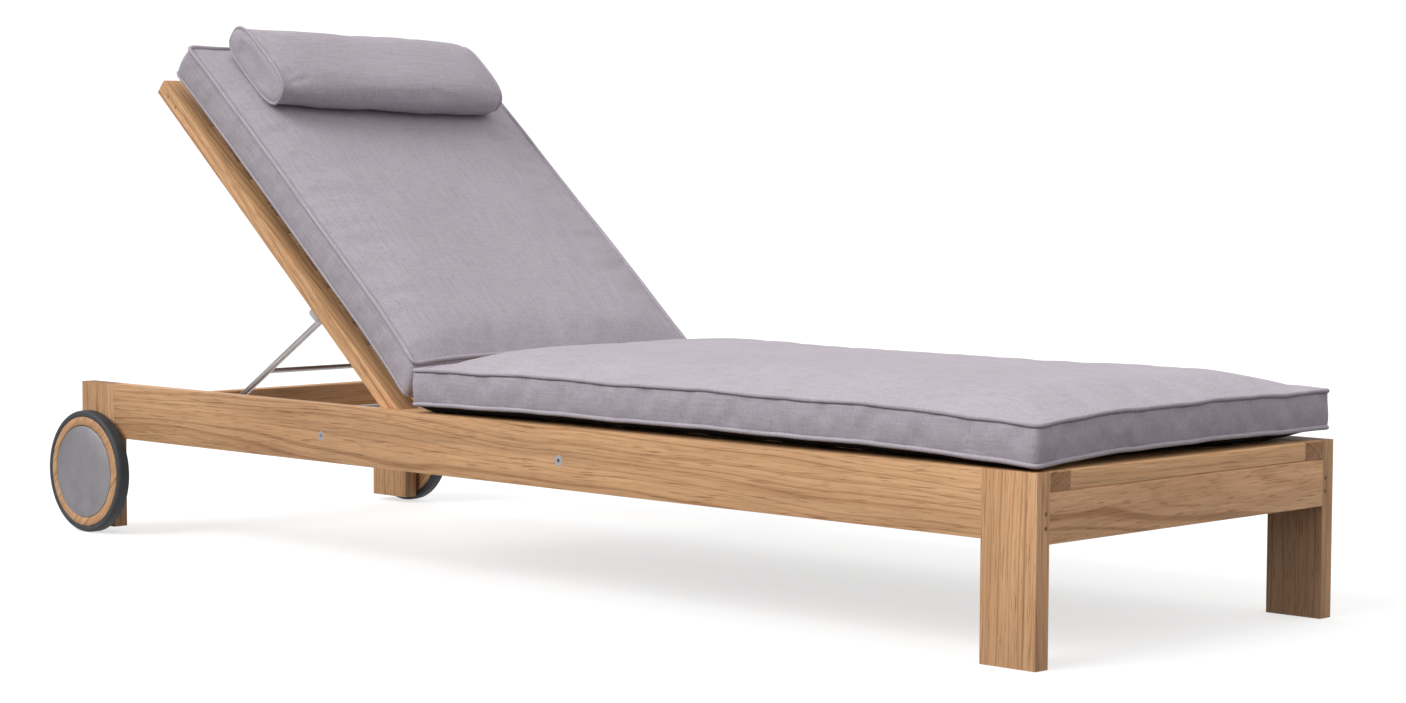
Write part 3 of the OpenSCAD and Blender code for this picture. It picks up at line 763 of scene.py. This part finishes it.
def inflate(piece, seams, pressure, spare, cap):
    """Blows the cover up with its seams held. spare is the extra cloth, which puckers at the
    seams, and cap is the furthest that a point may move, or one value for each point."""
    start = np.array([v.co for v in piece.data.vertices])
    held = piece.vertex_groups.new(name="seams")
    held.add(seams, 1.0, "REPLACE")
    cloth = piece.modifiers.new("cloth", "CLOTH")
    cloth.settings.quality = 6
    cloth.settings.mass = 0.3
    cloth.settings.tension_stiffness = 15
    cloth.settings.compression_stiffness = 15
    cloth.settings.shear_stiffness = 5
    cloth.settings.bending_stiffness = 0.4
    cloth.settings.use_pressure = True
    cloth.settings.uniform_pressure_force = pressure
    cloth.settings.shrink_min = -spare
    cloth.settings.vertex_group_mass = "seams"
    cloth.settings.effector_weights.gravity = 0
    scene = bpy.context.scene
    for step in range(1, 21):
        scene.frame_set(step)
    keep_result(piece)
    scene.frame_set(1)
    moved = np.array([v.co for v in piece.data.vertices]) - start
    moved *= np.minimum(1, cap / np.maximum(np.linalg.norm(moved, axis=1), 1e-9))[:, None]
    piece.data.vertices.foreach_set("co", (start + moved).ravel())
    piece.data.update()
    piece.vertex_groups.clear()


def settle(piece, floor, ceiling, soft=6 * MM):
    """Rests a cushion that lies flat on its floor, and eases its crown to stay below the ceiling."""
    points = np.array([v.co for v in piece.data.vertices])
    over = np.maximum(points[:, 2] - ceiling + soft, 0)
    points[:, 2] += soft * (1 - np.exp(-over / soft)) - over
    points[:, 2] = np.maximum(points[:, 2], floor)
    piece.data.vertices.foreach_set("co", points.ravel())
    piece.data.update()


def add_piping(name, piece, loops, mat):
    """Round piping sewn along loops of the cushion's points, as (tag, loop, radius)."""
    co = np.array([v.co for v in piece.data.vertices])
    for tag, loop, radius in loops:
        cord = tube(f"{name}_piping_{tag}", smooth_loop(co[loop], 1), radius, mat, sides=10)
        cord.parent = piece


def smooth_loop(path, rounds):
    for _ in range(rounds):
        path = (np.roll(path, 1, 0) + path * 2 + np.roll(path, -1, 0)) / 4
    return path


def finished(piece):
    """One level of subdivision, applied."""
    piece.modifiers.new("smooth", "SUBSURF").levels = 1
    piece.modifiers["smooth"].render_levels = 1
    keep_result(piece)
    piece.data.shade_smooth()


def lay_on_backrest(piece, s_shift):
    """Sets a piece made lying flat, X towards the seat, on the backrest at s_shift from its hinge."""
    turn = Matrix.Rotation(BACK_TILT, 4, "Y")
    piece.data.transform(Matrix.Translation(HINGE) @ turn @ Matrix.Translation((-s_shift, 0, 0)))
    piece.data.update()


def cover(name, points, faces, under, cloth, base):
    """A cushion's cover: canvas, with the first faces in the black base cloth, which also paints the shade
    under the cushion.
    """
    piece = add_object(name, mesh_of(name, points, faces), cloth)
    piece.data.materials.append(base)
    for face in list(piece.data.polygons)[:under]:
        face.material_index = 1
    return piece


def sewn(piece, body, stands_for):
    finished(piece)
    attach(piece, body)
    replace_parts(piece, stands_for)


def seat_cushion(cloth, cord, base):
    """Box cushion that lies flat on the seat slats."""
    low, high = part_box("seat_cushion")
    half = ((high.x - low.x) / 2 + 2 * MM, (high.y - low.y) / 2 + 1 * MM)
    points, faces, under, upper, lower = box_cushion(
        half, (262 * MM, 312 * MM), (17 * MM, 34 * MM), 11,
        drops=(4 * MM, 10 * MM, 1 * MM, 3 * MM), floor=low.z)
    cap = 6 * MM * np.clip((points[:, 0] + half[0]) / (60 * MM), 0.1, 1)
    points = points + np.array([(low.x + high.x) / 2, 0, 0])
    piece = cover("seat_cushion_cover", points, faces, under, cloth, base)
    inflate(piece, upper + lower, 1.0, 0.004, cap)
    settle(piece, low.z, high.z + 3 * MM)
    add_piping("seat_cushion", piece, [("upper", upper, 3.3 * MM), ("lower", lower, 3.3 * MM)], cord)
    sewn(piece, "frame", "seat_cushion")


def back_cushion(cloth, cord, base):
    """Box cushion on the backrest. Its lower end leans back, to stay clear of the seat cushion."""
    low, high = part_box("back_cushion")
    face = STILE_FACE
    bottom_s, top_s = 4 * MM, 755 * MM
    half = ((top_s - bottom_s) / 2, (high.y - low.y) / 2 + 0.5 * MM)
    points, faces, under, upper, lower = box_cushion(
        half, (face + 29 * MM, face + 79 * MM), (27 * MM, 21 * MM), 37,
        drops=(2 * MM, 5 * MM, 5 * MM, 2 * MM), floor=face + 0.6 * MM, rough=0.4,
        corner=10 * MM, pull=(4 * MM, 8 * MM, 4 * MM), tuck=(5, 5, 12, 12))
    near_seat = np.clip((points[:, 0] - half[0] + 60 * MM) / (60 * MM), 0, 1)
    lift = np.clip((points[:, 2] - face - 24 * MM) / (50 * MM), 0, 1)
    points[:, 0] -= near_seat * lift ** 2 * 20 * MM
    piece = cover("back_cushion_cover", points, faces, under, cloth, base)
    inflate(piece, upper + lower, 1.0, 0.003, 5 * MM * (1 - 0.9 * near_seat))
    settle(piece, face + 0.6 * MM, face + 99.6 * MM)
    lay_on_backrest(piece, (top_s + bottom_s) / 2)
    add_piping("back_cushion", piece, [("upper", upper, 3.6 * MM), ("lower", lower, 2.4 * MM)], cord)
    sewn(piece, "backrest", "back_cushion")


def head_pillow(cloth, cord):
    """A bolster that is full in the middle and flattened at the panel sewn into each end."""
    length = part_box("head_pillow")[1].y * 2 - 18 * MM
    face = STILE_FACE
    short = 19 * MM  # the left end stops short of the solid's by this much
    stations, sides, rows = 62, 72, 8
    wobble = Ripple(5, [(0.17, 1.0), (0.071, 0.5)])
    points, faces = [], []
    for y in np.linspace(-length / 2, length / 2 - short, stations):
        t = abs(y) / (length / 2)
        full = 1 - t ** 4
        gather = 1 - 0.16 * math.exp((y - length / 2 + short) / (16 * MM))
        skew = 21 * (0.5 + y / length)
        across, height = (79 + 4.5 * full) * gather * MM, (28 + 4 * full) * gather * MM
        middle = ((655 - 12 * full - skew) * MM, face + (124 + 6 * full) * MM)
        power = 0.62 + 0.2 * full
        for k in range(sides):
            c, s = math.cos(2 * math.pi * k / sides), math.sin(2 * math.pi * k / sides)
            x = math.copysign(abs(c) ** power, c) * across + wobble(y) * 0.8 * MM * s
            z = math.copysign(abs(s) ** power, s) * height + wobble(y + 0.3) * 0.6 * MM * c
            points.append((x - middle[0], y, z + middle[1]))
    for i in range(stations - 1):
        for k in range(sides):
            j = (k + 1) % sides
            faces.append((i * sides + k, (i + 1) * sides + k, (i + 1) * sides + j, i * sides + j))
    ends = [("right", 0, -1), ("left", (stations - 1) * sides, 1)]
    for _, first, sign in ends:
        end_panel(points, faces, first, sides, rows, sign)
    piece = add_object("head_pillow_cover", mesh_of("pillow", points, faces), cloth)
    rims = [list(range(first, first + sides)) for _, first, _ in ends]
    inflate(piece, rims[0] + rims[1], 1.4, 0.003, 3.5 * MM)
    span = np.array([abs(v.co.y) / (length / 2) for v in piece.data.vertices])
    settle(piece, face + (100.4 - 5 * span ** 4) * MM, face + 168 * MM)
    lay_on_backrest(piece, 0)
    add_piping("head_pillow", piece, [(ends[n][0], rims[n], 2.8 * MM) for n in (0, 1)], cord)
    sewn(piece, "pillow", "head_pillow")


def end_panel(points, faces, first, sides, rows, sign):
    """Closes one end of the pillow with a slightly domed panel, in strips from top to bottom."""
    half = sides // 2
    strips = [[first] * (rows + 1)]
    for k in range(1, half):
        a, b = np.array(points[first + k]), np.array(points[first + sides - k])
        strip = [first + k]
        for n in range(1, rows):
            t = n / rows
            p = a * (1 - t) + b * t
            dome = math.sin(math.pi * t) ** 0.6 * math.sin(math.pi * k / half) ** 0.6
            strip.append(len(points))
            points.append((p[0], p[1] + sign * 7 * MM * dome, p[2]))
        strips.append(strip + [first + sides - k])
    strips.append([first + half] * (rows + 1))
    for left, right in zip(strips[:-1], strips[1:]):
        for n in range(rows):
            ring = list(dict.fromkeys((left[n], left[n + 1], right[n + 1], right[n])))
            faces.append(tuple(ring if sign < 0 else ring[::-1]))


def make_cushions():
    lining_and_painted_shade = base_cloth_and_painted_shade("canvas_base_and_painted_shade")
    seat_cushion(canvas("canvas_seat"), canvas("canvas_piping_seat"), lining_and_painted_shade)
    back = canvas("canvas_back", -BACK_TILT)
    cord = canvas("canvas_piping_back", -BACK_TILT)
    back_cushion(back, cord, lining_and_painted_shade)
    head_pillow(canvas("canvas_pillow", -BACK_TILT, warp="y"), cord)


add_camera()
light_the_studio()
add_floor()
dress_wood()
dress_metal()
make_wheels()
make_cushions()
